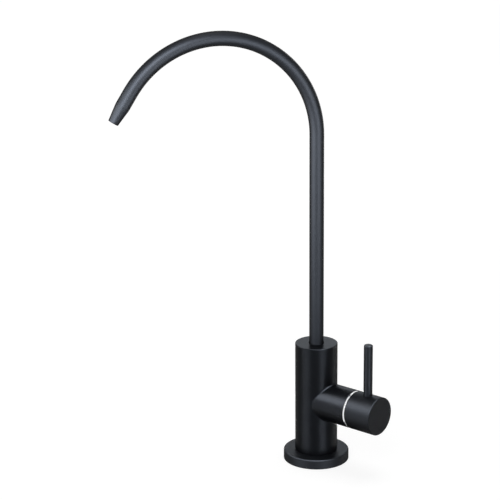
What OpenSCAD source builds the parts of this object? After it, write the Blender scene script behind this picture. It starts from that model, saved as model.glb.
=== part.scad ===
// Drinking water filter tap: gooseneck swivel spout, quarter-turn side handle, deck-mounting shank.
// Millimetres. Z up from the worktop, +X along the handle's axis, -Y towards the user.

/* [Spout] */

// Outside diameter of the spout tube
tube_d = 12; // [11:0.5:13]
// Wall of the spout tube
tube_wall = 1; // [0.8:0.1:1.2]
// Height above the worktop where the bend starts
bend_z = 280.5; // [180:0.5:320]
// Radius of the bend, on the tube's centreline
bend_r = 83.5; // [60:0.5:110]
// Angle that the bend turns through
bend_sweep = 147.5; // [120:0.5:170]
// Plain straight length after the bend
end_plain = 12; // [4:0.5:30]
// Length of the tapered outlet
end_taper = 14.5; // [8:0.5:25]
// Outside diameter of the outlet's end
tip_d = 8.5; // [7:0.5:10]
// Direction of the spout at rest, from the handle's axis
spout_rest = -121.4; // [-180:0.1:180]

/* [Body] */

// Diameter of the upright body
body_d = 35.5; // [34:0.5:42]
// Height of the body's top face
body_top = 103; // [100:0.5:130]
// Diameter of the side neck and of the knob
neck_d = 32; // [31:0.5:33]
// Height of the handle's axis
valve_z = 53.5; // [52:0.5:56]
// Distance from the body's axis to the end of the neck
neck_end = 40; // [39.5:0.5:42]

/* [Base] */

// Diameter of the base flange
flange_d = 55; // [52:0.5:65]
// Height of the base flange
flange_h = 8.2; // [6:0.1:10]
// Bevel of the flange's top edge
flange_edge = 1; // [0.4:0.1:1.5]

/* [Handle] */

// Visible width of the bright ring
ring_w = 1.5; // [1:0.1:2]
// Distance from the body's axis to the knob's end face
knob_end = 66.4; // [65:0.1:72]
// Diameter of the lever pin
lever_d = 7.4; // [6:0.1:8]
// Height of the lever's top
lever_top = 113.1; // [95:0.1:125]

/* [Mounting] */

// Diameter of the mounting shank
shank_d = 11; // [10.5:0.5:11.5]
// Thickest worktop that the shank takes
deck_max = 30; // [20:1:40]
// Threaded length below the worktop
thread_len = 26; // [20:1:40]
// Width across the flats of the lock nut
nut_af = 19; // [17:1:24]

/* [Hidden] */

$fn = 96;
hex_sides = 6;
// Facets round the spout's section
spout_facets = 32;
// Extra length of a cut past a face
cut = 1;

// Clearances
run_gap = 0.06;
fit_gap = 0.05;
film = 0.02;
turn_gap = 0.3;
slot_gap = 0.1;

// Shared edge sizes
edge = 0.5;
mouth = 0.8;

// Spout
tube_r = tube_d / 2;
tube_in_r = tube_r - tube_wall;
tip_r = tip_d / 2;
spout_bore_r = tube_r + run_gap;
// The tube draws this much thinner round the bend
bend_thin = 0.02;

// Valve chamber, stations along the handle's axis
chamber_r = 11;
seat_x = -6.5;
inlet_x = -11;
housing_x = -4.5;
disc_x = -2.5;
disc_t = 4;
turn_x = disc_x + disc_t + film;
driver_x = turn_x + disc_t + film;
driver_t = 3.5;
collar_x = 13;
collar_t = 1.5;
thrust_x = collar_x + collar_t + film;
thrust_t = 1.5;
cavity_x = thrust_x + thrust_t;
thread_x = 18;
cap_deep = 4.5;
cap_x = neck_end - cap_deep;
cap_t = 3;
hex_x = cap_x + cap_t;
hex_t = 7;
housing_end = hex_x + hex_t;
cavity_r = 7.5;
housing_r = 9.5;
housing_thread_r = chamber_r - fit_gap;
cap_r = 13;
hex_af = 17;
disc_gap = 0.08;
disc_r = cavity_r - disc_gap;
fixed_r = cavity_r - fit_gap;
port_r = 2;
port_at = 3.6;
window_gap = 0.4;
window_x = driver_x + driver_t + window_gap;
window_w = 3;
window_z = 8;
seal_in_r = 5.8;
seal_out_r = 7.4;

// Spindle
spindle_r = 5;
spindle_bore_r = spindle_r + run_gap;
core_r = 4;
collar_r = 7.2;
driver_len = 14;
driver_w = 6;
tang_w = 2;
tang_len = 5;
tang_t = 1.5;
oring_gap = 0.04;
spindle_ring_r = 0.9;
spindle_ring_at = spindle_bore_r - oring_gap - spindle_ring_r;
spindle_groove_r = spindle_ring_at - spindle_ring_r - film;
spindle_groove_w = 2.2;
spindle_rings_x = [24, 30];
clip_gap = 0.2;
clip_x = housing_end + clip_gap;
clip_t = 1;
clip_r = 7.5;
clip_in_r = 4.3;
clip_mouth = 5;
shaft_land = 1;
shaft_end = clip_x + clip_t + shaft_land;
stub_r = 4;
stub_len = 10;
stub_end = shaft_end + stub_len;
stub_flat = 3;

// Housing seal
housing_ring_r = 0.9;
housing_ring_in = 2.5;
housing_ring_x = cap_x - housing_ring_in;
housing_ring_at = chamber_r - film - housing_ring_r;
housing_groove_r = housing_ring_at - housing_ring_r - film;
housing_groove_w = 2.2;

// Knob and lever
neck_r = neck_d / 2;
ring_x = neck_end;
ring_inset = 0.3;
ring_r = neck_r - ring_inset;
ring_in_r = 12.6;
ring_spigot_r = cap_r + fit_gap;
ring_spigot_in_r = 11.5;
knob_x = ring_x + ring_w + turn_gap;
knob_hollow_r = 12.5;
floor_gap = 0.8;
knob_floor = shaft_end + floor_gap;
socket_r = stub_r + fit_gap;
socket_gap = 0.5;
socket_end = stub_end + socket_gap;
lever_r = lever_d / 2;
lever_x = (knob_x + knob_end) / 2;
lever_seat = 13;
lever_stud_r = 2.45;
lever_stud_end = 7;
lever_hole_end = 6.5;
lever_edge = 0.8;
screw_r = 1.95;
screw_hole_r = screw_r + fit_gap;
screw_sink = 1.5;
key_af = 2;
key_deep = 2.5;

// Body
body_r = body_d / 2;
body_foot = 3;
base_spigot_r = 12;
floor_wall = 3.5;
spout_floor = valve_z + chamber_r + floor_wall;
outlet_r = 4;
inlet_r = 3.1;
cross_r = 2.9;
cross_z = 24;
seat_hole_r = 5;

// Spout's lower end
washer_t = 1;
washer_in_r = 4.2;
spigot_z = spout_floor + washer_t + fit_gap;
spigot_len = 23;
tube_z = spigot_z + spigot_len;
spigot_bore_r = 3.5;
insert_len = 12;
insert_r = tube_in_r - film;
spout_ring_r = 0.95;
spout_ring_at = spout_bore_r - oring_gap - spout_ring_r;
spout_groove_r = spout_ring_at - spout_ring_r - film;
spout_groove_w = 2.3;
low_ring_up = 4;
high_ring_up = 10;
spout_rings_z = [spigot_z + low_ring_up, spigot_z + high_ring_up];
hold_up = 18;
hold_z = spigot_z + hold_up;
hold_w = 3.5;
hold_deep = 1.5;
hold_r = tube_r - hold_deep;
dog_r = 1.2;
dog_gap = 0.4;
dog_end = hold_r + dog_gap;
dog_base = spout_bore_r + dog_gap;

// Base and mounting
flange_r = flange_d / 2;
flange_hole_r = base_spigot_r + slot_gap;
gasket_in_r = 20;
gasket_out_r = 25;
gasket_t = 2;
shank_r = shank_d / 2;
shank_foot = 1;
stub_top = 17.5;
shank_stub_r = 7;
shank_socket_r = shank_stub_r + fit_gap;
socket_top = 20;
nose_r = 4.9;
shank_ring_r = 1;
shank_ring_at = nose_r + shank_ring_r + fit_gap;
thread_step = 0.2;
thread_r = shank_r - thread_step;
shank_end = -deck_max - thread_len;
feed_r = 2.6;
hose_r = 3.3;
hose_deep = 16;
pad_t = 3;
plate_t = 1.5;
nut_t = 10;
pad_r = 17;
pad_gap = 0.3;
pad_in_r = shank_r + pad_gap;
nut_hole_r = thread_r + run_gap;

// Colours
coat = [0.10, 0.10, 0.11];
bright = [0.86, 0.87, 0.88];
brass = [0.78, 0.62, 0.34];
steel = [0.66, 0.67, 0.69];
rubber = [0.07, 0.07, 0.07];
plastic = [0.90, 0.90, 0.88];
white_ceramic = [0.93, 0.92, 0.88];
dark_ceramic = [0.24, 0.24, 0.26];

// Places children on the handle's axis, with their Z along +X
module on_axis(x) {
    translate([x, 0, valve_z]) rotate([0, 90, 0]) children();
}

// Turned piece from radius and height pairs
module turned(profile) {
    rotate_extrude() polygon(profile);
}

// Plain ring
module ring(out_r, in_r, h) {
    difference() {
        cylinder(r = out_r, h = h);
        translate([0, 0, -cut]) cylinder(r = in_r, h = h + 2 * cut);
    }
}

// Round seal ring
module o_ring(at, section_r) {
    rotate_extrude() translate([at, 0]) circle(r = section_r);
}

// Hexagonal bar by its width across the flats
module hex_bar(af, h) {
    cylinder(d = af / cos(180 / hex_sides), h = h, $fn = hex_sides);
}

// Spout's path from a height up the straight, round the bend and down the tapered end
module spout_run(r, end_r, start) {
    translate([0, 0, start]) cylinder(r = r, h = bend_z - start);
    translate([bend_r, 0, bend_z]) rotate([90, 0, 180])
        rotate_extrude(angle = bend_sweep) translate([bend_r, 0]) circle(r = r - bend_thin);
    translate([bend_r * (1 - cos(bend_sweep)), 0, bend_z + bend_r * sin(bend_sweep)])
        rotate([0, bend_sweep, 0]) turned([
            [0, 0], [r, 0], [r, end_plain], [end_r, end_plain + end_taper], [0, end_plain + end_taper]
        ]);
}

module spout_tube() {
    color(coat) rotate([0, 0, spout_rest]) difference() {
        spout_run(tube_r, tip_r, tube_z, $fn = spout_facets);
        spout_run(tube_in_r, tip_r - tube_wall, tube_z, $fn = spout_facets);
    }
}

module spout_spigot() {
    color(brass) difference() {
        union() {
            translate([0, 0, spigot_z]) cylinder(r = tube_r, h = spigot_len);
            translate([0, 0, tube_z]) cylinder(r = insert_r, h = insert_len);
        }
        translate([0, 0, spigot_z - cut]) cylinder(r = spigot_bore_r, h = spigot_len + insert_len + 2 * cut);
        for (z = spout_rings_z)
            translate([0, 0, z - spout_groove_w / 2]) ring(tube_r + cut, spout_groove_r, spout_groove_w);
        translate([0, 0, hold_z - hold_w / 2]) ring(tube_r + cut, hold_r, hold_w);
    }
}

module spout_o_rings() {
    color(rubber) for (z = spout_rings_z)
        translate([0, 0, z]) o_ring(spout_ring_at, spout_ring_r);
}

module spout_thrust_washer() {
    color(plastic) translate([0, 0, spout_floor]) ring(tube_r, washer_in_r, washer_t);
}

module spout_set_screw() {
    outer_end = body_r - screw_sink;
    color(steel) translate([0, 0, hold_z]) rotate([-90, 0, 0]) difference() {
        union() {
            translate([0, 0, dog_base]) cylinder(r = screw_r, h = outer_end - dog_base);
            translate([0, 0, dog_end]) cylinder(r = dog_r, h = dog_base - dog_end);
        }
        translate([0, 0, outer_end - key_deep]) hex_bar(key_af, key_deep + cut);
    }
}

module tap_body() {
    color(coat) difference() {
        union() {
            turned([
                [0, flange_h], [body_r, flange_h], [body_r, body_top - edge],
                [body_r - edge, body_top], [0, body_top]
            ]);
            translate([0, 0, body_foot]) cylinder(r = base_spigot_r, h = flange_h - body_foot + cut);
            on_axis(0) turned([
                [0, 0], [neck_r, 0], [neck_r, neck_end - edge], [neck_r - edge, neck_end], [0, neck_end]
            ]);
        }
        // Spout bore with its mouth, and the outlet down to the valve chamber
        translate([0, 0, spout_floor]) cylinder(r = spout_bore_r, h = body_top - spout_floor + cut);
        translate([0, 0, body_top - mouth])
            cylinder(r1 = spout_bore_r, r2 = spout_bore_r + 2 * mouth, h = 2 * mouth);
        translate([0, 0, valve_z]) cylinder(r = outlet_r, h = spout_floor - valve_z + cut);
        translate([0, 0, hold_z]) rotate([-90, 0, 0]) cylinder(r = screw_hole_r, h = body_r + cut);
        // Valve chamber and the recess for the housing's cap
        on_axis(seat_x) cylinder(r = chamber_r, h = neck_end - seat_x + cut);
        on_axis(cap_x) cylinder(r = cap_r + 2 * fit_gap, h = neck_end - cap_x + cut);
        // Inlet from the shank to the valve seat
        on_axis(inlet_x) cylinder(r = seat_hole_r, h = seat_x - inlet_x + cut);
        translate([inlet_x, 0, cross_z]) cylinder(r = inlet_r, h = valve_z - cross_z);
        translate([inlet_x, 0, cross_z]) rotate([0, 90, 0]) cylinder(r = cross_r, h = -inlet_x);
        translate([0, 0, socket_top - cut]) cylinder(r = inlet_r, h = cross_z - socket_top + cut);
        translate([0, 0, body_foot - cut]) cylinder(r = shank_socket_r, h = socket_top - body_foot + cut);
    }
}

module base_flange() {
    color(coat) difference() {
        turned([
            [0, 0], [flange_r, 0], [flange_r, flange_h - flange_edge],
            [flange_r - flange_edge, flange_h], [0, flange_h]
        ]);
        translate([0, 0, -cut]) cylinder(r = flange_hole_r, h = flange_h + 2 * cut);
        translate([0, 0, -cut]) ring(gasket_out_r, gasket_in_r, gasket_t + cut);
    }
}

module base_gasket() {
    color(rubber) ring(gasket_out_r - slot_gap, gasket_in_r + slot_gap, gasket_t);
}

module cartridge_housing() {
    color(brass) difference() {
        union() {
            on_axis(housing_x) cylinder(r = housing_r, h = thread_x - housing_x);
            on_axis(thread_x) cylinder(r = housing_thread_r, h = cap_x - thread_x);
            on_axis(cap_x) cylinder(r = cap_r, h = cap_t);
            on_axis(hex_x) hex_bar(hex_af, hex_t);
        }
        on_axis(housing_x - cut) cylinder(r = cavity_r, h = cavity_x - housing_x + cut);
        on_axis(cavity_x - cut) cylinder(r = spindle_bore_r, h = housing_end - cavity_x + 2 * cut);
        on_axis(housing_ring_x - housing_groove_w / 2)
            ring(housing_thread_r + cut, housing_groove_r, housing_groove_w);
        translate([window_x, -chamber_r, valve_z - window_z / 2]) cube([window_w, 2 * chamber_r, window_z]);
    }
}

module cartridge_seat_seal() {
    color(rubber) on_axis(seat_x) ring(seal_out_r, seal_in_r, disc_x - seat_x);
}

module cartridge_o_ring() {
    color(rubber) on_axis(housing_ring_x) o_ring(housing_ring_at, housing_ring_r);
}

module fixed_disc() {
    color(white_ceramic) on_axis(disc_x) difference() {
        cylinder(r = fixed_r, h = disc_t);
        for (side = [-1, 1])
            translate([side * port_at, 0, -cut]) cylinder(r = port_r, h = disc_t + 2 * cut);
    }
}

module turning_disc() {
    color(dark_ceramic) on_axis(turn_x) difference() {
        cylinder(r = disc_r, h = disc_t);
        for (side = [-1, 1])
            translate([0, side * port_at, -cut]) cylinder(r = port_r, h = disc_t + 2 * cut);
        for (side = [-1, 1])
            translate([side * port_at, 0, disc_t]) cube(
                [tang_len + 2 * slot_gap, tang_w + 2 * slot_gap, 2 * (tang_t + slot_gap)], center = true);
    }
}

module valve_spindle() {
    color(brass) difference() {
        union() {
            on_axis(driver_x) intersection() {
                cylinder(r = driver_len / 2, h = driver_t);
                translate([-driver_len / 2, -driver_w / 2, 0]) cube([driver_len, driver_w, driver_t]);
            }
            for (side = [-1, 1])
                on_axis(driver_x - tang_t) translate([side * port_at - tang_len / 2, -tang_w / 2, 0])
                    cube([tang_len, tang_w, tang_t + cut]);
            on_axis(driver_x + driver_t) cylinder(r = core_r, h = collar_x - driver_x - driver_t);
            on_axis(collar_x) cylinder(r = collar_r, h = collar_t);
            on_axis(collar_x + collar_t) cylinder(r = spindle_r, h = shaft_end - collar_x - collar_t);
            on_axis(shaft_end) cylinder(r = stub_r, h = stub_end - shaft_end);
        }
        for (x = spindle_rings_x)
            on_axis(x - spindle_groove_w / 2) ring(spindle_r + cut, spindle_groove_r, spindle_groove_w);
        on_axis(clip_x - film) ring(spindle_r + cut, clip_in_r - film, clip_t + 2 * film);
        translate([shaft_end, -stub_r, valve_z - stub_r - stub_flat]) cube([stub_end, 2 * stub_r, stub_r]);
    }
}

module spindle_thrust_ring() {
    color(plastic) on_axis(thrust_x) ring(collar_r, spindle_bore_r + fit_gap, thrust_t);
}

module spindle_o_rings() {
    color(rubber) for (x = spindle_rings_x)
        on_axis(x) o_ring(spindle_ring_at, spindle_ring_r);
}

module spindle_clip() {
    color(steel) on_axis(clip_x) difference() {
        ring(clip_r, clip_in_r, clip_t);
        translate([0, -clip_mouth / 2, -cut]) cube([clip_r + cut, clip_mouth, clip_t + 2 * cut]);
    }
}

module trim_ring() {
    color(bright) on_axis(ring_x) union() {
        ring(ring_r, ring_in_r, ring_w);
        translate([0, 0, hex_x - ring_x + fit_gap])
            ring(ring_spigot_r, ring_spigot_in_r, ring_x - hex_x - fit_gap);
        ring(ring_spigot_r, ring_spigot_in_r, ring_w);
    }
}

module knob() {
    length = knob_end - knob_x;
    color(coat) difference() {
        on_axis(knob_x) turned([
            [0, 0], [neck_r - edge, 0], [neck_r, edge],
            [neck_r, length - edge], [neck_r - edge, length], [0, length]
        ]);
        on_axis(knob_x - cut) cylinder(r = knob_hollow_r, h = knob_floor - knob_x + cut);
        difference() {
            on_axis(knob_floor - cut) cylinder(r = socket_r, h = socket_end - knob_floor + cut);
            translate([knob_floor, -neck_r, valve_z - neck_r - stub_flat - fit_gap])
                cube([length, 2 * neck_r, neck_r]);
        }
        translate([lever_x, 0, valve_z + lever_seat]) cylinder(r = lever_r + fit_gap, h = neck_r);
        translate([lever_x, 0, valve_z + lever_hole_end])
            cylinder(r = lever_stud_r + fit_gap, h = lever_seat - lever_hole_end + cut);
        translate([lever_x, 0, valve_z - neck_r - cut]) cylinder(r = screw_hole_r, h = neck_r + cut - stub_flat / 2);
    }
}

module lever_pin() {
    length = lever_top - valve_z - lever_seat;
    color(coat) translate([lever_x, 0, valve_z]) {
        translate([0, 0, lever_seat]) turned([
            [0, 0], [lever_r, 0], [lever_r, length - lever_edge], [lever_r - lever_edge, length], [0, length]
        ]);
        translate([0, 0, lever_stud_end]) cylinder(r = lever_stud_r, h = lever_seat - lever_stud_end);
    }
}

module knob_set_screw() {
    low = -neck_r + screw_sink;
    color(steel) translate([lever_x, 0, valve_z]) difference() {
        translate([0, 0, low]) cylinder(r = screw_r, h = -stub_flat - fit_gap - low);
        translate([0, 0, low - cut]) hex_bar(key_af, key_deep + cut);
    }
}

module mounting_shank() {
    color(steel) difference() {
        turned([
            [0, shank_end], [thread_r - edge, shank_end], [thread_r, shank_end + edge], [thread_r, -deck_max],
            [shank_r, -deck_max], [shank_r, shank_foot], [shank_stub_r, shank_foot], [shank_stub_r, stub_top],
            [nose_r, stub_top], [nose_r, socket_top - fit_gap], [0, socket_top - fit_gap]
        ]);
        translate([0, 0, shank_end - cut]) cylinder(r = feed_r, h = socket_top - shank_end + 2 * cut);
        translate([0, 0, shank_end - cut]) cylinder(r = hose_r, h = hose_deep + cut);
    }
}

module shank_o_ring() {
    color(rubber) translate([0, 0, stub_top + shank_ring_r + fit_gap]) o_ring(shank_ring_at, shank_ring_r);
}

module rubber_washer() {
    color(rubber) translate([0, 0, -deck_max - pad_t]) ring(pad_r, pad_in_r, pad_t);
}

module steel_washer() {
    color(steel) translate([0, 0, -deck_max - pad_t - plate_t]) ring(pad_r, pad_in_r, plate_t);
}

module lock_nut() {
    color(brass) translate([0, 0, -deck_max - pad_t - plate_t - nut_t]) difference() {
        hex_bar(nut_af, nut_t);
        translate([0, 0, -cut]) cylinder(r = nut_hole_r, h = nut_t + 2 * cut);
    }
}

spout_tube();
spout_spigot();
spout_o_rings();
spout_thrust_washer();
spout_set_screw();
tap_body();
base_flange();
base_gasket();
cartridge_housing();
cartridge_seat_seal();
cartridge_o_ring();
fixed_disc();
turning_disc();
valve_spindle();
spindle_thrust_ring();
spindle_o_rings();
spindle_clip();
trim_ring();
knob();
lever_pin();
knob_set_screw();
mounting_shank();
shank_o_ring();
rubber_washer();
steel_washer();
lock_nut();
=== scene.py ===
"""Drinking water filter tap: the looks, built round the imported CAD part.

Sizes are in millimetres, in the part's frame: Z up from the worktop, +X along the handle's axis,
-Y towards the user. Meshes are made in metres.
"""
import math

import bmesh
import bpy
from mathutils import Matrix, Vector


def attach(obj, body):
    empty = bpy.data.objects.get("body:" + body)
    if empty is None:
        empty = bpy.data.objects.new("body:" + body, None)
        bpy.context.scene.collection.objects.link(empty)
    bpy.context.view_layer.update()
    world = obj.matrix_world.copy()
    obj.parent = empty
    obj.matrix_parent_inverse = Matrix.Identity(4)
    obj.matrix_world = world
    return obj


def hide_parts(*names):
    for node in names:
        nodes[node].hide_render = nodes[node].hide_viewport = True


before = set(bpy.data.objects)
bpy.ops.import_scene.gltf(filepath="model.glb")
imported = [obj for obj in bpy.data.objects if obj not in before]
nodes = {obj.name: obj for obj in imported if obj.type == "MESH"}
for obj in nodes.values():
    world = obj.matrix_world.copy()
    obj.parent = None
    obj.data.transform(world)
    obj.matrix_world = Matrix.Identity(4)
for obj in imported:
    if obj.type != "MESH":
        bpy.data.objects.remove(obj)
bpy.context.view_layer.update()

MM = 0.001

# Sizes repeated from the part's source
TUBE_R, TUBE_IN_R, TIP_R = 6.0, 5.0, 4.25
TUBE_WALL = TUBE_R - TUBE_IN_R
BEND_Z, BEND_R, SWEEP = 280.5, 83.5, math.radians(147.5)
END_PLAIN, END_TAPER = 12.0, 14.5
TUBE_Z = 92.05
SPOUT_REST = math.radians(-121.4)
BODY_R, BODY_TOP, BODY_FOOT = 17.75, 103.0, 3.0
NECK_R, NECK_END, VALVE_Z = 16.0, 40.0, 53.5
SPOUT_BORE_R, SPOUT_FLOOR, HOLD_Z = 6.06, 68.0, 87.05
CHAMBER_R, SEAT_X, CAP_X, CAP_RECESS_R = 11.0, -6.5, 35.5, 13.1
BASE_SPIGOT_R, SHANK_SOCKET_R, SOCKET_TOP = 12.0, 7.05, 20.0
FLANGE_R, FLANGE_H, FLANGE_HOLE_R = 27.5, 8.2, 12.1
GASKET_IN_R, GASKET_OUT_R, GASKET_T = 20.0, 25.0, 2.0
RING_X, RING_W, RING_R = 40.0, 1.5, 15.7
RING_IN_R, RING_SPIGOT_R, RING_SPIGOT_LEN = 11.5, 13.05, 1.4
KNOB_X, KNOB_END, KNOB_HOLLOW_R, KNOB_FLOOR = 41.8, 66.4, 12.5, 48.5
SOCKET_R, SOCKET_END = 4.05, 58.2
LEVER_R, LEVER_X, LEVER_TOP, LEVER_SEAT = 3.7, 54.1, 113.1, 13.0
FIT_GAP, SCREW_HOLE_R = 0.05, 2.0
SHANK_R, THREAD_R, SHANK_STUB_R, NOSE_R = 5.5, 5.3, 7.0, 4.9
SHANK_FOOT, STUB_TOP, SHANK_TOP, SHANK_END = 1.0, 17.5, 19.95, -56.0
DECK_MAX, HOSE_R, HOSE_DEEP, FEED_R = 30.0, 3.3, 16.0, 2.6
NUT_AF, NUT_T, NUT_TOP, NUT_HOLE_R = 19.0, 10.0, -34.5, 5.36
PAD_R, PAD_IN_R, PAD_T, PLATE_T = 17.0, 5.8, 3.0, 1.5
OUTLET_R, INLET_R, INLET_X, SEAT_HOLE_R = 4.0, 3.1, -11.0, 5.0
CROSS_R, CROSS_Z = 2.9, 24.0
STUD_R, STUD_END, STUD_HOLE_R, STUD_HOLE_END = 2.45, 7.0, 2.5, 6.5

# Sizes of the looks alone: the outlet's lip, half of its taper's soft start, the neck's fillet
LIP, SHOULDER, FILLET = 0.45, 1.5, 1.4
LEVER_ROUND, RING_ROUND, FLANGE_ROUND, FLANGE_BREAK = 0.9, 0.2, 1.1, 0.3
PAD_ROUND, PLATE_ROUND = 0.6, 0.3
# Floors that the walls' screw holes get before a drill takes them on to the spout and the spindle
BODY_SCREW_FLOOR, KNOB_SCREW_FLOOR = SPOUT_BORE_R + 1.0, 4.5
# How far a drill runs past the face that it opens; one in a screw's hole stays clear of its wall
OVERRUN = 1.0
SCREW_DRILL_R = SCREW_HOLE_R - 0.03
# Angle rows of the turned walls: their step in degrees and their count
WALL_STEP, WALL_ROWS = 3.0, 120
# Shares of the way from a patch's edge to the rim of its cut-out that get a ring
PATCH_SHARES = (0.22, 0.5, 0.8, 0.95, 1.0)
# Edges sharper than these angles shade as edges
SHARP, THREAD_SHARP, NUT_SHARP = math.radians(35), math.radians(28), math.radians(20)
# Points closer than this, in metres, are one; a radius below this, in millimetres, is on the axis
MERGE, ON_AXIS = 1e-6, 1e-9

# Camera fitted to the photograph's outlines, in the photograph's 500 pixel frame
FOCAL_PX, IMAGE_PX, SENSOR_MM = 1781.98, 500.0, 36.0
PITCH, ROLL, AZIMUTH = math.radians(16.636), math.radians(-0.512), math.radians(40.728)
CAM_RIGHT, CAM_BACK, CAM_UP = -54.744, 1403.367, 603.454

scene = bpy.context.scene
scene.view_settings.view_transform = "Standard"


def make_camera():
    """The photograph's camera, turned from its own heading into the part's frame."""
    turn = Matrix.Rotation(AZIMUTH, 3, "Z")
    right = Vector((1, 0, 0))
    up = Vector((0, math.sin(PITCH), math.cos(PITCH)))
    ahead = Vector((0, math.cos(PITCH), -math.sin(PITCH)))
    tilted_right = right * math.cos(ROLL) + up * math.sin(ROLL)
    tilted_up = up * math.cos(ROLL) - right * math.sin(ROLL)
    data = bpy.data.cameras.new("photo_camera")
    data.sensor_width = SENSOR_MM
    data.lens = FOCAL_PX * data.sensor_width / IMAGE_PX
    data.clip_start, data.clip_end = 0.01, 100.0
    cam = bpy.data.objects.new("photo_camera", data)
    scene.collection.objects.link(cam)
    axes = Matrix((turn @ tilted_right, turn @ tilted_up, turn @ -ahead)).transposed()
    place = turn @ Vector((CAM_RIGHT, -CAM_BACK, CAM_UP)) * MM
    cam.matrix_world = Matrix.Translation(place) @ axes.to_4x4()
    scene.camera = cam


make_camera()


# Shape helpers

def graded(start, stop, count):
    return [start + (stop - start) * i / count for i in range(count + 1)]


def even_angles(count):
    return [2 * math.pi * i / count for i in range(count)]


def around(r, h, angles):
    return [(r * math.cos(a), r * math.sin(a), h) for a in angles]


def swung(a, b, share):
    """An arm turned from a to b by a share of the angle between them."""
    sweep = a.angle(b)
    return (a * math.sin((1 - share) * sweep) + b * math.sin(share * sweep)) / math.sin(sweep)


def quarter(r, h, size, steps, up=1, first=1):
    """(Radius, height) points of an edge's rounding, from a wall to the flat above it.

    Where up is -1, the flat is below the wall.
    """
    points = []
    for k in range(first, steps + 1):
        a = k * math.pi / (2 * steps)
        points.append((r - size * (1 - math.cos(a)), h - up * size * (1 - math.sin(a))))
    return points


def rounded(points, radii, steps=6, lip=0.35):
    """A closed (radius, height) outline with the corners named in radii rounded off.

    Short runs of the flats beside a rounding are kept as rows of their own, so that it shades cleanly.
    """
    out = []
    count = len(points)
    for i, (r, h) in enumerate(points):
        here = Vector((r, h))
        size = radii.get(i, 0.0)
        if not size:
            out.append((r, h))
            continue
        back = Vector(points[i - 1]) - here
        on = Vector(points[(i + 1) % count]) - here
        half = back.angle(on) / 2
        reach = size / math.tan(half)
        start = here + back.normalized() * reach
        end = here + on.normalized() * reach
        middle = here + (back.normalized() + on.normalized()).normalized() * (size / math.sin(half))
        if back.length > reach + 2 * lip:
            out.append(tuple(start + back.normalized() * lip))
        for k in range(steps + 1):
            out.append(tuple(middle + swung(start - middle, end - middle, k / steps)))
        if on.length > reach + 2 * lip:
            out.append(tuple(end + on.normalized() * lip))
    return out


def make_object(name, verts, faces, sharp=SHARP):
    """A shown object from millimetre points: faces outwards, smooth shading apart from the sharp edges."""
    mesh = bpy.data.meshes.new(name)
    mesh.from_pydata([Vector(v) * MM for v in verts], [], faces)
    bm = bmesh.new()
    bm.from_mesh(mesh)
    bmesh.ops.remove_doubles(bm, verts=bm.verts, dist=MERGE)
    bmesh.ops.recalc_face_normals(bm, faces=bm.faces)
    bm.to_mesh(mesh)
    bm.free()
    mesh.shade_smooth()
    mesh.set_sharp_from_angle(angle=sharp)
    obj = bpy.data.objects.new(name, mesh)
    scene.collection.objects.link(obj)
    return obj


def turned_object(name, outline, segments, place=tuple):
    """An object from a closed (radius, height) outline turned round its axis; place puts it in the frame."""
    verts, faces = [], []
    count = len(outline)
    for a in even_angles(segments):
        verts += [place((r * math.cos(a), r * math.sin(a), h)) for r, h in outline]
    for i in range(segments):
        j = (i + 1) % segments
        for k in range(count):
            n = (k + 1) % count
            if outline[k][0] < ON_AXIS and outline[n][0] < ON_AXIS:
                continue
            faces.append((i * count + k, j * count + k, j * count + n, i * count + n))
    return make_object(name, verts, faces)


def bridge(faces, a, b):
    """Faces between two closed rings of the same count."""
    n = len(a)
    for i in range(n):
        j = (i + 1) % n
        faces.append((a[i], a[j], b[j], b[i]))


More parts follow.
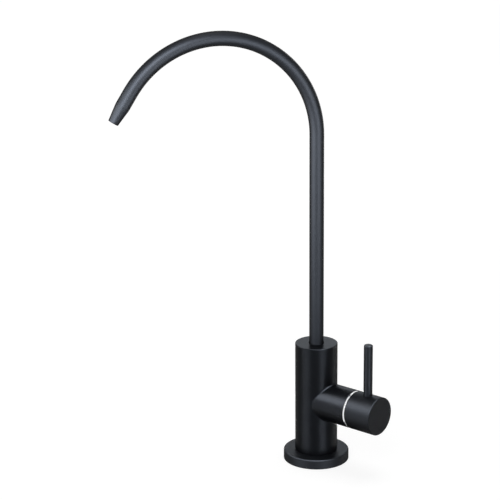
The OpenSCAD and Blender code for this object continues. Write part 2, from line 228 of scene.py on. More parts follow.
class Shell:
    """A skin built ring by ring, with walls that can have round cut-outs."""

    def __init__(self):
        self.verts, self.faces = [], []

    def add(self, p):
        self.verts.append(tuple(p))
        return len(self.verts) - 1

    def rings(self, rows):
        """Adds rings of points and joins each to the one before it; returns the first and last."""
        made = [[self.add(p) for p in row] for row in rows]
        for a, b in zip(made, made[1:]):
            bridge(self.faces, a, b)
        return made[0], made[-1]

    def loop(self, rows):
        """Adds rings that come back to the first one."""
        first, last = self.rings(rows)
        bridge(self.faces, last, first)

    def close(self, ring, rows, middle):
        """Goes on from a ring through rows of points to a last flat, round its middle."""
        first, last = self.rings(rows)
        bridge(self.faces, ring, first)
        m = self.add(middle)
        for i in range(len(last)):
            self.faces.append((last[i], last[(i + 1) % len(last)], m))

    def wall(self, angles, heights, point, cuts):
        """A wall on rows of angles (closed) and heights, with a patch left out for each cut-out.

        Each cut is (first angle row, last angle row, first height row, last height row, hole), where
        hole(direction) gives the cut-out's rim as an angle and a height. Returns the bottom ring, the
        top ring and the rims, each with the directions of its points.
        """
        rows = [[self.add(point(a, h)) for a in angles] for h in heights]
        count = len(angles)
        taken = set()
        rims = []
        for i0, i1, j0, j1, hole in cuts:
            taken.update((i, j) for i in range(i0, i1) for j in range(j0, j1))
            edge = [(i, j0) for i in range(i0, i1)] + [(i1, j) for j in range(j0, j1)]
            edge += [(i, j1) for i in range(i1, i0, -1)] + [(i0, j) for j in range(j1, j0, -1)]
            mid_a = (angles[i0] + angles[i1]) / 2
            mid_h = (heights[j0] + heights[j1]) / 2
            scale = (heights[j1] - heights[j0]) / (angles[i1] - angles[i0])
            aims = [math.atan2(heights[j] - mid_h, (angles[i] - mid_a) * scale) for i, j in edge]
            rim = [hole(t) for t in aims]
            ring = [rows[j][i] for i, j in edge]
            for share in PATCH_SHARES:
                inner = []
                for (i, j), (rim_a, rim_h) in zip(edge, rim):
                    a, h = angles[i], heights[j]
                    inner.append(self.add(point(a + (rim_a - a) * share, h + (rim_h - h) * share)))
                bridge(self.faces, ring, inner)
                ring = inner
            rims.append((ring, aims))
        for j in range(len(heights) - 1):
            for i in range(count):
                if (i, j) not in taken:
                    n = (i + 1) % count
                    self.faces.append((rows[j][i], rows[j][n], rows[j + 1][n], rows[j + 1][i]))
        return rows[0], rows[-1], rims

    def blind_hole(self, rim, r, wall_r, sink, floor, place):
        """A round hole from a wall's rim to a flat floor, its edge sunk a little under the wall.

        place(across, along, out) puts a point of it into the part's frame.
        """
        ring, aims = rim
        rows = []
        for deep in (False, True):
            row = []
            for t in aims:
                across, along = r * math.cos(t), r * math.sin(t)
                out = floor if deep else math.sqrt(wall_r ** 2 - across ** 2) - sink
                row.append(place(across, along, out))
            rows.append(row)
        self.close(ring, rows, place(0, 0, floor))


def wall_angles():
    """Even angle rows of a turned wall, so that cut-outs take whole rows."""
    return [math.radians(WALL_STEP) * i - math.pi for i in range(WALL_ROWS)]


def row_of(degrees, start):
    """The row at an angle, in a wall whose first row is at start."""
    return round((math.radians(degrees) - start) / math.radians(WALL_STEP))


def rim_on(wall_r, angle, height, r):
    """The rim of a round hole in a turned wall: an angle and a height for each direction."""
    return lambda t: (angle + math.asin(r * math.cos(t) / wall_r), height + r * math.sin(t))


def bore(obj, start, end, r):
    """Cuts a round hole between two millimetre points out of a piece."""
    start, end = Vector(start) * MM, Vector(end) * MM
    along = end - start
    sides = 48
    bm = bmesh.new()
    bmesh.ops.create_cone(
        bm, cap_ends=True, segments=sides, radius1=r * MM, radius2=r * MM, depth=along.length,
    )
    # Half a side's turn keeps the drill's edges off the planes where holes meet
    half_side = Matrix.Rotation(math.pi / sides, 4, "Z")
    turn = along.to_track_quat("Z", "Y").to_matrix().to_4x4() @ half_side
    bm.transform(Matrix.Translation((start + end) / 2) @ turn)
    drill_mesh = bpy.data.meshes.new("drill")
    bm.to_mesh(drill_mesh)
    bm.free()
    drill = bpy.data.objects.new("drill", drill_mesh)
    scene.collection.objects.link(drill)
    cut = obj.modifiers.new("bore", "BOOLEAN")
    cut.operation, cut.solver, cut.object = "DIFFERENCE", "EXACT", drill
    old = obj.data
    drilled = obj.evaluated_get(bpy.context.evaluated_depsgraph_get())
    obj.data = bpy.data.meshes.new_from_object(drilled)
    obj.data.set_sharp_from_angle(angle=SHARP)
    obj.modifiers.clear()
    bpy.data.objects.remove(drill)
    for mesh in (drill_mesh, old):
        bpy.data.meshes.remove(mesh)


# Spout

def spout_path():
    """Stations along the spout, in its own upright plane: centre, direction and share of the taper."""
    stations = []
    for z in graded(TUBE_Z, BEND_Z, 24):
        stations.append((Vector((0, 0, z)), Vector((0, 0, 1)), 0.0))
    for t in graded(0, SWEEP, 96)[1:]:
        c = Vector((BEND_R * (1 - math.cos(t)), 0, BEND_Z + BEND_R * math.sin(t)))
        stations.append((c, Vector((math.sin(t), 0, math.cos(t))), 0.0))
    c, d, _ = stations[-1]
    for s in graded(0, END_PLAIN - SHOULDER, 4)[1:]:
        stations.append((c + d * s, d, 0.0))
    # The taper starts with a soft shoulder
    for s in graded(END_PLAIN - SHOULDER, END_PLAIN + SHOULDER, 8)[1:]:
        lean = (s - END_PLAIN + SHOULDER) ** 2 / (4 * SHOULDER)
        stations.append((c + d * s, d, lean / END_TAPER))
    for s in graded(END_PLAIN + SHOULDER, END_PLAIN + END_TAPER - LIP, 8)[1:]:
        stations.append((c + d * s, d, (s - END_PLAIN) / END_TAPER))
    tip = c + d * (END_PLAIN + END_TAPER)
    return stations, tip, d


def make_spout():
    shell = Shell()
    spin = Matrix.Rotation(SPOUT_REST, 3, "Z")
    angles = even_angles(48)
    side = Vector((0, 1, 0))
    stations, tip, end_dir = spout_path()

    def ring(centre, along, r):
        out = along.cross(side)
        return [
            spin @ (centre + out * (r * math.cos(a)) + side * (r * math.sin(a)))
            for a in angles
        ]

    rows = [ring(c, d, TUBE_R + (TIP_R - TUBE_R) * share) for c, d, share in stations]
    # The lip's outer and inner rounding, with what the two leave of the wall, then back up the bore
    steps, flat = 6, 0.1
    for k in range(1, steps + 1):
        a = math.pi / 2 * k / steps
        r = TIP_R - LIP * (1 - math.cos(a))
        rows.append(ring(tip - end_dir * LIP * (1 - math.sin(a)), end_dir, r))
    for k in range(1, steps + 1):
        a = math.pi / 2 * k / steps
        r = TIP_R - 2 * LIP + LIP * (1 - math.sin(a)) - flat * k / steps
        rows.append(ring(tip - end_dir * LIP * (1 - math.cos(a)), end_dir, r))
    for c, d, share in reversed(stations):
        rows.append(ring(c, d, TUBE_IN_R + (TIP_R - TUBE_WALL - TUBE_IN_R) * share))
    shell.loop(rows)
    return make_object("spout", shell.verts, shell.faces)


# Body

def make_tap_body():
    shell = Shell()
    start = -math.pi
    angles = wall_angles()
    # Roundings of the top, the foot, the bore's mouth and the neck's end, and the screw's countersink
    edge, foot, mouth, neck_edge, sink = 0.55, 0.4, 0.8, 0.5, 0.25
    # Short runs kept beside the roundings
    lip, neck_lip = 0.4, 0.3
    # Plain rows of the wall at the foot and the top, of the neck and of the bore
    foot_row, wall_row, top_row = FLANGE_H + 1.0, FLANGE_H + 6.0, BODY_TOP - 4.0
    neck_row, bore_row = NECK_END - 2.0, BODY_TOP - 2.0
    # Half the width in degrees and half the height of the patches left out for the neck and the screw
    neck_wide, neck_tall = 78, 20.0
    screw_wide, screw_tall = 15, 5.0

    neck_lo, neck_hi = VALVE_Z - neck_tall, VALVE_Z + neck_tall
    screw_lo, screw_hi = HOLD_Z - screw_tall, HOLD_Z + screw_tall
    heights = [FLANGE_H + foot, foot_row] + graded(wall_row, neck_lo, 4)
    j0 = len(heights) - 1
    heights += graded(neck_lo, neck_hi, 20)[1:]
    j1 = len(heights) - 1
    heights += graded(neck_hi, screw_lo, 2)[1:]
    k0 = len(heights) - 1
    heights += graded(screw_lo, screw_hi, 8)[1:]
    k1 = len(heights) - 1
    heights += [top_row, BODY_TOP - edge - lip, BODY_TOP - edge]

    def point(a, h):
        return (BODY_R * math.cos(a), BODY_R * math.sin(a), h)

    ball_r, ball_n = BODY_R + FILLET, NECK_R + FILLET
    neck_rim = rim_on(ball_r, 0.0, VALVE_Z, ball_n)
    screw_rim = rim_on(BODY_R, math.pi / 2, HOLD_Z, SCREW_HOLE_R + sink)
    cuts = [
        (row_of(-neck_wide, start), row_of(neck_wide, start), j0, j1, neck_rim),
        (row_of(90 - screw_wide, start), row_of(90 + screw_wide, start), k0, k1, screw_rim),
    ]
    bottom, top, rims = shell.wall(angles, heights, point, cuts)
    # Fillet, neck and the valve chamber, all on the rim's own directions
    rim, aims = rims[0]
    rows = []
    steps = 8
    for step in range(1, steps + 1):
        row = []
        for t in aims:
            cy, cz = ball_n * math.cos(t), ball_n * math.sin(t)
            centre = Vector((math.sqrt(ball_r ** 2 - cy ** 2), cy, cz))
            on_body = Vector((centre.x * BODY_R / ball_r, cy * BODY_R / ball_r, cz)) - centre
            on_neck = Vector((centre.x, NECK_R * math.cos(t), NECK_R * math.sin(t))) - centre
            p = centre + swung(on_body, on_neck, step / steps)
            row.append((p.x, p.y, VALVE_Z + p.z))
        rows.append(row)
    fillet_end = rows[-1]
    for share in (0.08, 0.35, 0.7):
        row = []
        for t, p in zip(aims, fillet_end):
            x = p[0] + (neck_row - p[0]) * share
            row.append((x, NECK_R * math.cos(t), VALVE_Z + NECK_R * math.sin(t)))
        rows.append(row)
    profile = [(NECK_R, neck_row), (NECK_R, NECK_END - neck_edge - neck_lip)]
    profile += quarter(NECK_R, NECK_END, neck_edge, 6, first=0)
    profile += [
        (NECK_R - neck_edge - neck_lip, NECK_END), (CAP_RECESS_R, NECK_END), (CAP_RECESS_R, CAP_X),
        (CHAMBER_R, CAP_X), (CHAMBER_R, SEAT_X),
    ]
    for r, x in profile:
        rows.append([(x, r * math.cos(t), VALVE_Z + r * math.sin(t)) for t in aims])
    shell.close(rim, rows, (SEAT_X, 0, VALVE_Z))
    shell.blind_hole(
        rims[1], SCREW_HOLE_R, BODY_R, sink, BODY_SCREW_FLOOR,
        lambda across, along, out: (-across, out, HOLD_Z + along),
    )
    # Top edge, top face and spout bore
    upper = quarter(BODY_R, BODY_TOP, edge, 7)
    upper += [
        (BODY_R - edge - lip, BODY_TOP), (SPOUT_BORE_R + mouth + lip, BODY_TOP),
        (SPOUT_BORE_R + mouth, BODY_TOP),
    ]
    for k in range(1, 5):
        a = k * math.pi / 8
        upper.append((SPOUT_BORE_R + mouth * (1 - math.sin(a)), BODY_TOP - mouth * (1 - math.cos(a))))
    upper += [(SPOUT_BORE_R, bore_row), (SPOUT_BORE_R, SPOUT_FLOOR)]
    shell.close(top, [around(r, h, angles) for r, h in upper], (0, 0, SPOUT_FLOOR))
    # Foot, with the spigot that sits in the flange and the shank's socket
    lower = quarter(BODY_R, FLANGE_H, foot, 4, up=-1)
    lower += [
        (BASE_SPIGOT_R, FLANGE_H), (BASE_SPIGOT_R, BODY_FOOT),
        (SHANK_SOCKET_R, BODY_FOOT), (SHANK_SOCKET_R, SOCKET_TOP),
    ]
    shell.close(bottom, [around(r, h, angles) for r, h in lower], (0, 0, SOCKET_TOP))
    body = make_object("body", shell.verts, shell.faces)
    # Outlet up to the spout, inlet from the shank to the valve's seat, and the screw's way to the spout
    bore(body, (0, 0, VALVE_Z), (0, 0, SPOUT_FLOOR + OVERRUN), OUTLET_R)
    bore(body, (INLET_X, 0, VALVE_Z), (SEAT_X + OVERRUN, 0, VALVE_Z), SEAT_HOLE_R)
    bore(body, (INLET_X, 0, CROSS_Z), (INLET_X, 0, VALVE_Z), INLET_R)
    bore(body, (INLET_X, 0, CROSS_Z), (0, 0, CROSS_Z), CROSS_R)
    bore(body, (0, 0, SOCKET_TOP - OVERRUN), (0, 0, CROSS_Z), INLET_R)
    bore(body, (0, 0, HOLD_Z), (0, BODY_SCREW_FLOOR + OVERRUN, HOLD_Z), SCREW_DRILL_R)
    return body


# Knob, lever, ring and flange

def make_knob():
    shell = Shell()
    length, mid = KNOB_END - KNOB_X, LEVER_X - KNOB_X
    # The wall starts at the side, so that the lever's and the screw's holes take whole rows
    start = -math.pi / 2
    angles = [a + math.pi / 2 for a in wall_angles()]
    # Rounding of the edges, the short runs beside it, the rows next to them and the holes' countersinks
    edge, lip, inset, sink = 0.6, 0.35, 2.4, 0.2
    # Half the width in degrees and half the height of the patches left out for the holes
    wide, tall = 24, 6.0
    # Radius of the face's last ring, and a depth inside the spindle's socket
    face_ring, in_socket = 8.0, 1.5

    heights = [edge, edge + lip] + graded(inset, mid - tall, 2)
    j0 = len(heights) - 1
    heights += graded(mid - tall, mid + tall, 12)[1:]
    j1 = len(heights) - 1
    heights += graded(mid + tall, length - inset, 2)[1:] + [length - edge - lip, length - edge]

    def point(a, h, r=NECK_R):
        # Angle 0 is up, towards the lever
        return (KNOB_X + h, r * math.sin(a), VALVE_Z + r * math.cos(a))

    def turned(outline):
        return [[point(a, h, r) for a in angles] for r, h in outline]

    # The lever's hole and the screw's: degrees round the wall, side of the axis, radius and floor
    holes = (
        (0, 1, LEVER_R + FIT_GAP, LEVER_SEAT),
        (180, -1, SCREW_HOLE_R, KNOB_SCREW_FLOOR),
    )
    cuts = []
    for at, _, r, _ in holes:
        rim = rim_on(NECK_R, math.radians(at), mid, r + sink)
        cuts.append((row_of(at - wide, start), row_of(at + wide, start), j0, j1, rim))
    bottom, top, rims = shell.wall(angles, heights, point, cuts)
    for rim, (_, side, r, floor) in zip(rims, holes):
        shell.blind_hole(
            rim, r, NECK_R, sink, floor,
            lambda across, along, out: (LEVER_X + along, side * across, VALVE_Z + side * out),
        )
    face = quarter(NECK_R, length, edge, 7) + [(NECK_R - edge - lip, length), (face_ring, length)]
    shell.close(top, turned(face), (KNOB_END, 0, VALVE_Z))
    inner = quarter(NECK_R, 0.0, edge, 7, up=-1) + [
        (NECK_R - edge - lip, 0.0), (KNOB_HOLLOW_R, 0.0), (KNOB_HOLLOW_R, KNOB_FLOOR - KNOB_X),
        (SOCKET_R, KNOB_FLOOR - KNOB_X), (SOCKET_R, SOCKET_END - KNOB_X),
    ]
    shell.close(bottom, turned(inner), (SOCKET_END, 0, VALVE_Z))
    knob = make_object("knob_turned", shell.verts, shell.faces)
    # The stud's hole, and the screw's way to the spindle
    ways = (
        (STUD_HOLE_END, LEVER_SEAT + OVERRUN, STUD_HOLE_R),
        (-KNOB_SCREW_FLOOR - OVERRUN, -in_socket, SCREW_DRILL_R),
    )
    for low_end, high_end, r in ways:
        bore(knob, (LEVER_X, 0, VALVE_Z + low_end), (LEVER_X, 0, VALVE_Z + high_end), r)
    return knob


def make_lever():
    base, stud = VALVE_Z + LEVER_SEAT, VALVE_Z + STUD_END
    outline = [
        (0, stud), (STUD_R, stud), (STUD_R, base), (LEVER_R, base), (LEVER_R, LEVER_TOP), (0, LEVER_TOP),
    ]
    outline = rounded(outline, {4: LEVER_ROUND}, steps=8)
    return turned_object("lever", outline, 64, lambda p: (p[0] + LEVER_X, p[1], p[2]))


def make_trim_ring():
    back, front = RING_X - RING_SPIGOT_LEN, RING_X + RING_W
    outline = [
        (RING_IN_R, back), (RING_SPIGOT_R, back), (RING_SPIGOT_R, RING_X),
        (RING_R, RING_X), (RING_R, front), (RING_IN_R, front),
    ]
    outline = rounded(outline, {3: RING_ROUND, 4: RING_ROUND}, steps=4, lip=RING_ROUND / 2)
    return turned_object("bright_ring", outline, 128, lambda p: (p[2], p[1], VALVE_Z - p[0]))


def make_flange():
    outline = [
        (FLANGE_HOLE_R, 0), (GASKET_IN_R, 0), (GASKET_IN_R, GASKET_T),
        (GASKET_OUT_R, GASKET_T), (GASKET_OUT_R, 0),
        (FLANGE_R, 0), (FLANGE_R, FLANGE_H), (FLANGE_HOLE_R, FLANGE_H),
    ]
    outline = rounded(outline, {5: FLANGE_BREAK, 6: FLANGE_ROUND, 7: FLANGE_BREAK}, steps=8)
    return turned_object("flange", outline, 160)


# Below the worktop

def make_shank():
    """Hollow shank: the thread's ridges run round as a true helix between the run-outs."""
    shell = Shell()
    angles = even_angles(48)
    pitch, depth, rows_per_turn = 1.25, 0.5, 8
    chamfer, end_chamfer, end_plain = 0.4, 0.6, 1.0
    # Length and depth of the run-out between the plain shank and the thread
    run_out, run_down = 0.5, 0.3
    lo, hi = SHANK_END + end_plain, -DECK_MAX
    above = [
        (FEED_R, SHANK_TOP), (NOSE_R - chamfer, SHANK_TOP), (NOSE_R, SHANK_TOP - chamfer),
        (NOSE_R, STUB_TOP), (SHANK_STUB_R, STUB_TOP), (SHANK_STUB_R, SHANK_FOOT),
        (SHANK_R, SHANK_FOOT), (SHANK_R, 0.0), (SHANK_R, hi + run_out), (SHANK_R - run_down, hi),
    ]
    below = [
        (THREAD_R - end_chamfer, SHANK_END), (HOSE_R + chamfer, SHANK_END), (HOSE_R, SHANK_END + chamfer),
        (HOSE_R, SHANK_END + HOSE_DEEP), (FEED_R, SHANK_END + HOSE_DEEP),
    ]
    rows = [around(r, z, angles) for r, z in above]
    steps = round((hi - lo) / pitch * rows_per_turn)
    for k in range(steps + 1):
        z = hi - (hi - lo) * k / steps
        fade = min(1.0, (hi - z) / pitch, (z - lo) / pitch)
        row = []
        for i, a in enumerate(angles):
            phase = (z / pitch + i / len(angles)) % 1.0
            ridge = 1.0 - abs(2.0 * phase - 1.0)
            r = THREAD_R - depth * fade * (1 - ridge)
            row.append((r * math.cos(a), r * math.sin(a), z))
        rows.append(row)
    rows += [around(r, z, angles) for r, z in below]
    shell.loop(rows)
    return make_object("shank", shell.verts, shell.faces, THREAD_SHARP)


def make_nut():
    """Hexagon nut with turned-off corners and a countersunk hole."""
    shell = Shell()
    angles = even_angles(60)
    flat = NUT_AF / 2
    # Countersink, width and depth of the faces' turned edge, and the slope of the turned-off corners
    sink, edge_in, edge_down, slope = 0.6, 0.35, 0.25, 0.58

    def hexagon(face, sign):
        points = []
        for a in angles:
            r = flat / math.cos(a % (math.pi / 3) - math.pi / 6)
            z = face - sign * (edge_down + (r - flat) * slope)
            points.append((r * math.cos(a), r * math.sin(a), z))
        return points

    top, low = NUT_TOP, NUT_TOP - NUT_T
    shell.loop([
        around(NUT_HOLE_R, low + sink, angles),
        around(NUT_HOLE_R + sink, low, angles),
        around(flat - edge_in, low, angles),
        hexagon(low, -1),
        hexagon(top, 1),
        around(flat - edge_in, top, angles),
        around(NUT_HOLE_R + sink, top, angles),
        around(NUT_HOLE_R, top - sink, angles),
    ])
    return make_object("nut", shell.verts, shell.faces, NUT_SHARP)


def make_washer(name, top, thick, edge):
    outline = [(PAD_IN_R, top - thick), (PAD_R, top - thick), (PAD_R, top), (PAD_IN_R, top)]
    outline = rounded(outline, {1: edge, 2: edge}, steps=4, lip=edge / 2)
    return turned_object(name, outline, 96)


# Materials

# The part of a noise's values that is spread out
NOISE_LOW, NOISE_HIGH = 0.3, 0.7
# Power with which the coat's sheen level falls towards the edges
SHEEN_FALL = 2.0
COAT_DARK, COAT_LIGHT = (0.0046, 0.0051, 0.0062), (0.0064, 0.0071, 0.0086)
COAT_SHEEN_TINT = (0.74, 0.83, 1.0, 1)


def new_material(name):
    mat = bpy.data.materials.new(name)
    mat.use_nodes = True
    tree = mat.node_tree
    shader = tree.nodes["Principled BSDF"]
    place = tree.nodes.new("ShaderNodeTexCoord")
    return mat, tree, shader, place.outputs["Object"]


def noise(tree, where, scale, detail=3.0):
    n = tree.nodes.new("ShaderNodeTexNoise")
    n.inputs["Scale"].default_value = scale
    n.inputs["Detail"].default_value = detail
    n.inputs["Roughness"].default_value = 0.55
    tree.links.new(where, n.inputs["Vector"])
    return n.outputs["Fac"]


def spread(tree, value, low, high, start=NOISE_LOW, stop=NOISE_HIGH):
    """A value's run from start to stop spread out from low to high."""
    n = tree.nodes.new("ShaderNodeMapRange")
    n.inputs["From Min"].default_value = start
    n.inputs["From Max"].default_value = stop
    n.inputs["To Min"].default_value = low
    n.inputs["To Max"].default_value = high
    tree.links.new(value, n.inputs["Value"])
    return n.outputs["Result"]


def two_tone(tree, value, dark, light):
    n = tree.nodes.new("ShaderNodeValToRGB")
    stops = zip(n.color_ramp.elements, (NOISE_LOW, NOISE_HIGH), (dark, light))
    for stop, position, colour in stops:
        stop.position = position
        stop.color = (*colour, 1)
    tree.links.new(value, n.inputs["Fac"])
    return n.outputs["Color"]


def bump(tree, shader, value, strength, distance):
    n = tree.nodes.new("ShaderNodeBump")
    n.inputs["Strength"].default_value = strength
    n.inputs["Distance"].default_value = distance
    tree.links.new(value, n.inputs["Height"])
    tree.links.new(n.outputs["Normal"], shader.inputs["Normal"])


def calc(tree, operation, a, b):
    """A math node's result for two values, each a number or another node's output."""
    n = tree.nodes.new("ShaderNodeMath")
    n.operation = operation
    for socket, value in zip(n.inputs, (a, b)):
        if isinstance(value, float):
            socket.default_value = value
        else:
            tree.links.new(value, socket)
    return n.outputs["Value"]


def black_coat(name, sheen_level, rough_low, rough_high):
    """Satin black baked coat: near-black with a cool cast, a fine orange peel and faint cloudiness.

    Its sheen keeps even towards the edges, where a gloss paint's would rise.
    """
    mat, tree, shader, where = new_material(name)
    cloud = noise(tree, where, scale=60.0)
    peel = noise(tree, where, scale=2600.0, detail=2.0)
    tree.links.new(two_tone(tree, cloud, COAT_DARK, COAT_LIGHT), shader.inputs["Base Color"])
    tree.links.new(spread(tree, cloud, rough_low, rough_high), shader.inputs["Roughness"])
    facing = tree.nodes.new("ShaderNodeLayerWeight").outputs["Facing"]
    even = calc(tree, "POWER", calc(tree, "SUBTRACT", 1.0, facing), SHEEN_FALL)
    tree.links.new(calc(tree, "MULTIPLY", even, sheen_level), shader.inputs["Specular IOR Level"])
    shader.inputs["Specular Tint"].default_value = COAT_SHEEN_TINT
    bump(tree, shader, peel, strength=0.03, distance=0.00004)
    return mat


def turned_metal(name, dark, light, rough_low, rough_high, axis, marks=5200.0):
    """Machined metal with fine marks round its axis."""
    mat, tree, shader, where = new_material(name)
    stretch = tree.nodes.new("ShaderNodeMapping")
    stretch.inputs["Scale"].default_value = [1.0 if i == axis else 0.03 for i in range(3)]
    tree.links.new(where, stretch.inputs["Vector"])
    lines = noise(tree, stretch.outputs["Vector"], marks, detail=2.0)
    cloud = noise(tree, where, scale=140.0)
    tree.links.new(two_tone(tree, cloud, dark, light), shader.inputs["Base Color"])
    tree.links.new(spread(tree, lines, rough_low, rough_high), shader.inputs["Roughness"])
    shader.inputs["Metallic"].default_value = 1.0
    bump(tree, shader, lines, strength=0.12, distance=0.00003)
    return mat


def soft_material(name, dark, light, rough_low, rough_high, grain, strength):
    """Rubber, plastic or ceramic: a grain of its own size over a slightly uneven colour."""
    mat, tree, shader, where = new_material(name)
    cloud = noise(tree, where, scale=90.0)
    fine = noise(tree, where, grain)
    tree.links.new(two_tone(tree, cloud, dark, light), shader.inputs["Base Color"])
    tree.links.new(spread(tree, fine, rough_low, rough_high), shader.inputs["Roughness"])
    shader.inputs["Specular IOR Level"].default_value = 0.5
    bump(tree, shader, fine, strength, distance=0.00005)
    return mat


# Axes that metal is turned about
ACROSS, UPRIGHT = 0, 2
# Dark and light colour and the range of roughness; for ceramic the roughness, grain and its strength
BRASS = ((0.66, 0.49, 0.22), (0.74, 0.57, 0.28), 0.22, 0.36)
STEEL = ((0.55, 0.56, 0.58), (0.63, 0.64, 0.66), 0.24, 0.36)
LAPPED = (0.14, 0.22, 2600.0, 0.04)

# The coat's grades: sheen level and the range of roughness
BODY_COAT = black_coat("black_coat", 0.08, 0.29, 0.33)
KNOB_COAT = black_coat("black_coat_on_knob", 0.105, 0.39, 0.43)
PIN_COAT = black_coat("black_coat_on_pin", 0.16, 0.39, 0.43)
FOOT_COAT = black_coat("black_coat_on_foot", 0.15, 0.48, 0.52)
DRAWN_COAT = black_coat("black_coat_on_drawn_tube", 0.22, 0.46, 0.50)
CHROME = turned_metal(
    "bright_chrome", (0.84, 0.85, 0.86), (0.90, 0.91, 0.92), 0.10, 0.18, ACROSS, marks=9000.0,
)
BRASS_X = turned_metal("brass_turned_across", *BRASS, ACROSS)
BRASS_Z = turned_metal("brass_turned_upright", *BRASS, UPRIGHT)
STEEL_X = turned_metal("steel_turned_across", *STEEL, ACROSS)
STEEL_Z = turned_metal("steel_turned_upright", *STEEL, UPRIGHT)
RUBBER = soft_material(
    "seal_rubber", (0.016, 0.016, 0.017), (0.026, 0.026, 0.027), 0.55, 0.72, 1500.0, 0.25,
)
PLASTIC = soft_material(
    "slide_plastic", (0.80, 0.80, 0.77), (0.86, 0.86, 0.83), 0.36, 0.48, 1800.0, 0.10,
)
WHITE_CERAMIC = soft_material("white_ceramic", (0.83, 0.82, 0.77), (0.89, 0.88, 0.84), *LAPPED)
DARK_CERAMIC = soft_material("dark_ceramic", (0.10, 0.10, 0.11), (0.15, 0.15, 0.16), *LAPPED)

CAD_MATERIALS = {
    "spout_spigot": BRASS_Z,
    "spout_o_rings": RUBBER,
    "spout_thrust_washer": PLASTIC,
    "spout_set_screw": STEEL_X,
    "base_gasket": RUBBER,
    "cartridge_housing": BRASS_X,
    "cartridge_seat_seal": RUBBER,
    "cartridge_o_ring": RUBBER,
    "fixed_disc": WHITE_CERAMIC,
    "turning_disc": DARK_CERAMIC,
    "valve_spindle": BRASS_X,
    "spindle_thrust_ring": PLASTIC,
    "spindle_o_rings": RUBBER,
    "spindle_clip": STEEL_X,
    "knob_set_screw": STEEL_Z,
    "shank_o_ring": RUBBER,
}


# The coated pieces, which the studio's cards show in
coated = bpy.data.collections.new("coated")
high = bpy.data.collections.new("coated_spout")
low = bpy.data.collections.new("coated_below_the_spout")


def dress(obj, mat, body, slot, *replaced):
    if slot == "black_coat":
        coated.objects.link(obj)
        (high if body == "spout" else low).objects.link(obj)
    obj.data.materials.clear()
    obj.data.materials.append(mat)
    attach(obj, body)
    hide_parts(*replaced)


pad = ("pad", -DECK_MAX, PAD_T, PAD_ROUND)
plate = ("plate", -DECK_MAX - PAD_T, PLATE_T, PLATE_ROUND)
dress(make_spout(), DRAWN_COAT, "spout", "black_coat", "spout_tube")
dress(make_tap_body(), BODY_COAT, "tap", "black_coat", "tap_body")
dress(make_flange(), FOOT_COAT, "tap", "black_coat", "base_flange")
dress(make_trim_ring(), CHROME, "tap", "bright_ring", "trim_ring")
dress(make_knob(), KNOB_COAT, "handle", "black_coat", "knob")
dress(make_lever(), PIN_COAT, "handle", "black_coat", "lever_pin")
dress(make_shank(), STEEL_Z, "tap", "steel", "mounting_shank")
dress(make_nut(), BRASS_Z, "clamp_set", "brass", "lock_nut")
dress(make_washer(*pad), RUBBER, "clamp_set", "seal_rubber", "rubber_washer")
dress(make_washer(*plate), STEEL_Z, "clamp_set", "steel", "steel_washer")

for node_name, material in CAD_MATERIALS.items():
    node = nodes[node_name]
    node.data.materials.clear()
    node.data.materials.append(material)


# Floor, world and lights, in metres

# Rings of the floor from the shank's hole outwards, and its drop below the flange's underside
FLOOR_RINGS, FLOOR_DROP = (13.0 * MM, 0.03, 0.2, 1.5, 8.0, 30.0), 0.0001
FLOOR_DIFFUSE = 0.30
# Lift near the tap, where the lamps reach, and far from it, and the distances between which it changes
LIFT_NEAR, LIFT_FAR, LIFT_START, LIFT_STOP = 0.82, 0.92, 0.2, 1.2
# Strength of the surroundings as light, and where seen or mirrored
WORLD_LIGHT, WORLD_SEEN = 0.30, 1.0
# Height of the tap's middle, which the slanting panels face
AIM_Z = 0.15


def seen_or_mirrored(tree):
    """1 for the camera's rays and for mirrored and see-through ones, 0 for light on other surfaces."""
    path = tree.nodes.new("ShaderNodeLightPath")
    seen = path.outputs["Is Camera Ray"]
    for name in ("Is Glossy Ray", "Is Transmission Ray"):
        seen = calc(tree, "MAXIMUM", seen, path.outputs[name])
    return seen


def make_floor():
    """White worktop with a hole for the shank, lifted to white where seen, with the tap's shadow kept."""
    shell = Shell()
    shell.rings([around(r, -FLOOR_DROP, even_angles(64)) for r in FLOOR_RINGS])
    mesh = bpy.data.meshes.new("floor")
    mesh.from_pydata(shell.verts, [], shell.faces)
    floor = bpy.data.objects.new("floor", mesh)
    scene.collection.objects.link(floor)
    mat = bpy.data.materials.new("pale_floor")
    mat.use_nodes = True
    tree = mat.node_tree
    tree.nodes.clear()
    out = tree.nodes.new("ShaderNodeOutputMaterial")
    diffuse = tree.nodes.new("ShaderNodeBsdfDiffuse")
    diffuse.inputs["Color"].default_value = (FLOOR_DIFFUSE, FLOOR_DIFFUSE, FLOOR_DIFFUSE, 1)
    glow = tree.nodes.new("ShaderNodeEmission")
    where = tree.nodes.new("ShaderNodeTexCoord")
    away = tree.nodes.new("ShaderNodeVectorMath")
    away.operation = "LENGTH"
    tree.links.new(where.outputs["Object"], away.inputs[0])
    lift = spread(tree, away.outputs["Value"], LIFT_NEAR, LIFT_FAR, LIFT_START, LIFT_STOP)
    shown = calc(tree, "MULTIPLY", lift, seen_or_mirrored(tree))
    tree.links.new(shown, glow.inputs["Strength"])
    both = tree.nodes.new("ShaderNodeAddShader")
    tree.links.new(diffuse.outputs[0], both.inputs[0])
    tree.links.new(glow.outputs[0], both.inputs[1])
    tree.links.new(both.outputs[0], out.inputs["Surface"])
    mesh.materials.append(mat)


def make_world():
    """Pale surroundings: white where seen or mirrored, softer as light."""
    world = bpy.data.worlds.new("studio")
    scene.world = world
    world.use_nodes = True
    tree = world.node_tree
    back = tree.nodes["Background"]
    back.inputs["Color"].default_value = (1.0, 1.0, 1.0, 1)
    strength = spread(tree, seen_or_mirrored(tree), WORLD_LIGHT, WORLD_SEEN, 0.0, 1.0)
    tree.links.new(strength, back.inputs["Strength"])


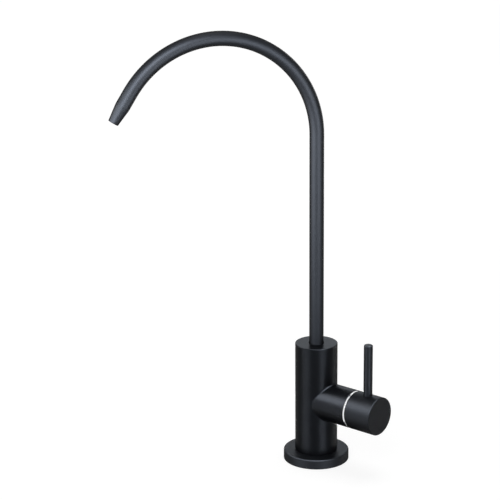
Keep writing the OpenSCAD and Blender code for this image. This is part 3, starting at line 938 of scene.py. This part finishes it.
def softbox(
    name, turn, away, height, size, radiance, shows_in=None, upright=False, colour=(1.0, 1.0, 1.0),
):
    """A panel lamp that faces the tap, turned so many degrees to the right of the camera's heading.

    One with shows_in is a card that shows in those pieces' sheen only, as a studio's reflector does.
    """
    heading = AZIMUTH - math.pi / 2 + math.radians(turn)
    place = Vector((away * math.cos(heading), away * math.sin(heading), height))
    aim = Vector((0, 0, height if upright else AIM_Z))
    data = bpy.data.lights.new(name, "AREA")
    data.shape = "RECTANGLE"
    data.size, data.size_y = size
    data.energy = radiance * math.pi * size[0] * size[1]
    data.color = colour
    lamp = bpy.data.objects.new(name, data)
    scene.collection.objects.link(lamp)
    lamp.location = place
    lamp.rotation_mode = "QUATERNION"
    lamp.rotation_quaternion = (aim - place).to_track_quat("-Z", "Y")
    lamp.visible_camera = False
    if shows_in:
        lamp.visible_diffuse = False
        # The floor stops mirrored rays to a card that reaches below it, so such a card is only sampled
        data.cycles.use_multiple_importance_sampling = height > size[1] / 2
        lamp.light_linking.receiver_collection = shows_in
        lamp.light_linking.blocker_collection = coated


make_floor()
make_world()
# Turn in degrees, distance, height, size and radiance of each panel
softbox("top_lamp", 160, 0.15, 1.30, (0.70, 0.70), 3.0)
softbox("front_lamp", -15, 1.20, 0.90, (0.80, 0.80), 3.0)
softbox("left_card", -60, 0.34, 0.26, (0.44, 0.34), 14.0, high, upright=True)
softbox("right_card", 36, 0.34, 0.25, (0.30, 0.32), 12.0, high, upright=True)
softbox("tip_card", -10, 0.80, 0.42, (0.30, 0.25), 8.0, high)
softbox("front_card", -8, 0.75, 0.80, (0.55, 0.45), 28.0, high)
softbox("rim_card", -8, 0.75, 0.85, (0.80, 0.60), 38.0, low)
softbox("left_tall_card", -62, 0.65, 0.10, (0.52, 1.20), 5.0, low, upright=True)
softbox("right_tall_card", 34, 0.70, 0.05, (0.40, 1.10), 6.4, low, upright=True)
softbox("neck_card", -98, 0.65, 0.54, (0.80, 0.50), 26.0, low, upright=True)
softbox("saddle_card", 52, 0.50, 0.86, (0.60, 0.55), 60.0, low)
softbox("side_card", 112, 0.80, -0.10, (0.60, 0.80), 1.2, low, upright=True)
softbox("back_card", 180, 1.05, 0.45, (0.80, 0.44), 4.4, low, colour=(0.82, 0.90, 1.0))
softbox("rear_card", 180, 0.70, -0.15, (0.50, 0.50), 5.0, low, upright=True)
softbox("rear_high_card", 170, 0.40, 0.27, (0.44, 0.34), 8.0, high, upright=True)
